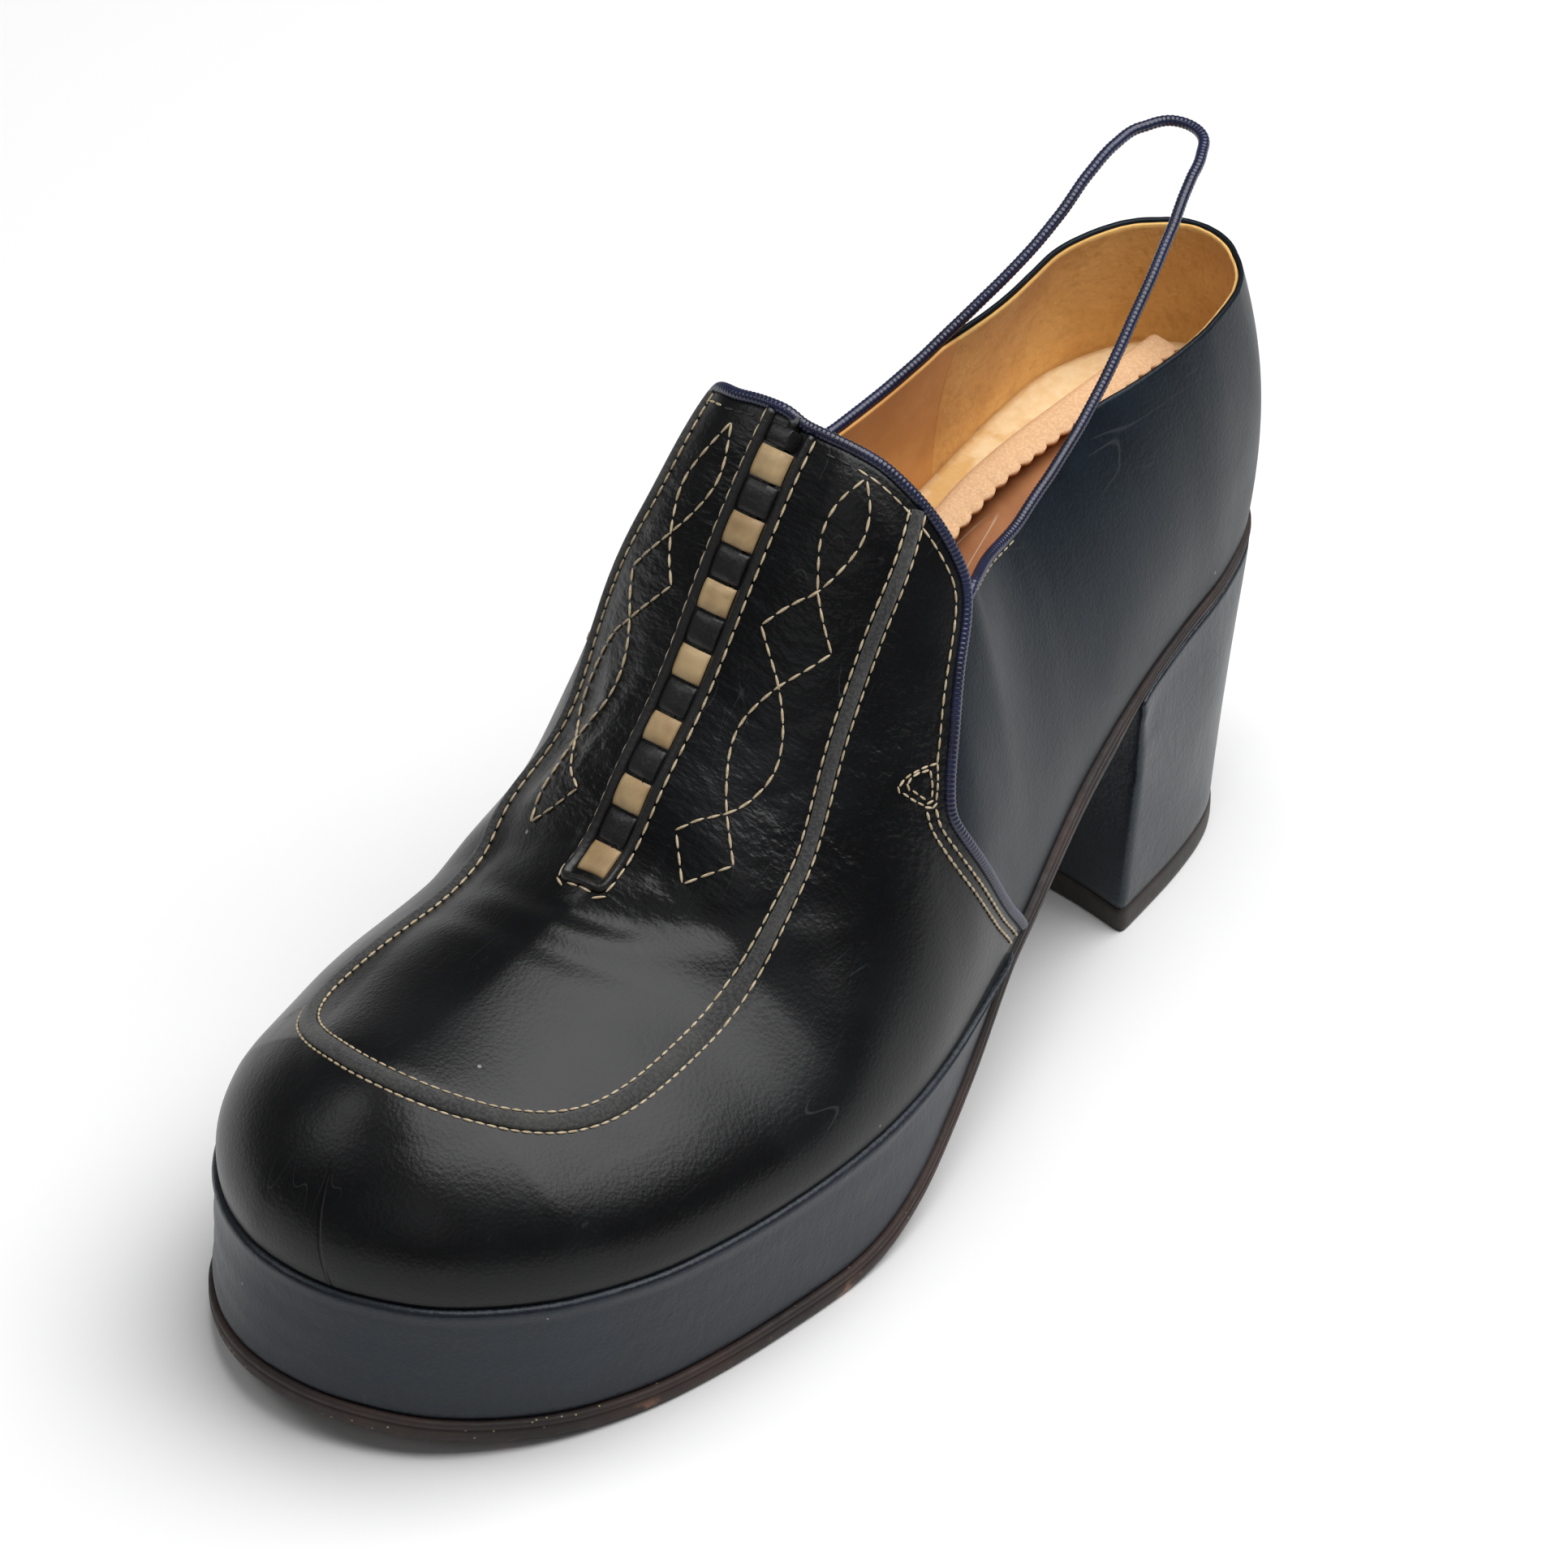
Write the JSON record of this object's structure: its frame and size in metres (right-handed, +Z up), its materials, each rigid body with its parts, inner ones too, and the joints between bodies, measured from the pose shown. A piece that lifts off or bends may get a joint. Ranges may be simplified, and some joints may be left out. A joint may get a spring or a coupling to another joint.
{
  "type": "platform slip-on shoe",
  "caption": "Slip-on platform shoe with a high block heel, a rounded toe, a raised apron and a tall flap with a stitched centre strip.",
  "frame": {"origin": "middle of the shoe's box, on the floor that the sole and the heel stand on", "axes": "+X towards the outer side of the foot, +Y towards the heel, +Z up"},
  "size_m": [0.1136, 0.2916, 0.153],
  "materials": {
    "navy_leather": "smooth leather, satin",
    "black_leather": "smooth leather, satin",
    "suede": "napped leather, matt",
    "piping": "ribbed leather cord, glossy",
    "strip": "pale leather strip woven through black",
    "lining": "tan lining leather",
    "board": "fibre insole board, matt",
    "sole": "stained sole leather",
    "lift": "hard rubber, matt"
  },
  "bodies": {
    "root": {"outsole": "sole", "platform": "navy_leather", "heel_block": "navy_leather", "top_lift": "lift", "insole": "board", "sock_lining": "lining", "upper": "navy_leather", "apron_seam": "suede", "throat_strip": "strip", "slot_welts": "black_leather", "flap_piping": "piping", "wing_piping_outer": "piping", "wing_piping_inner": "piping", "collar_piping": "piping"}
  },
  "joints": []
}
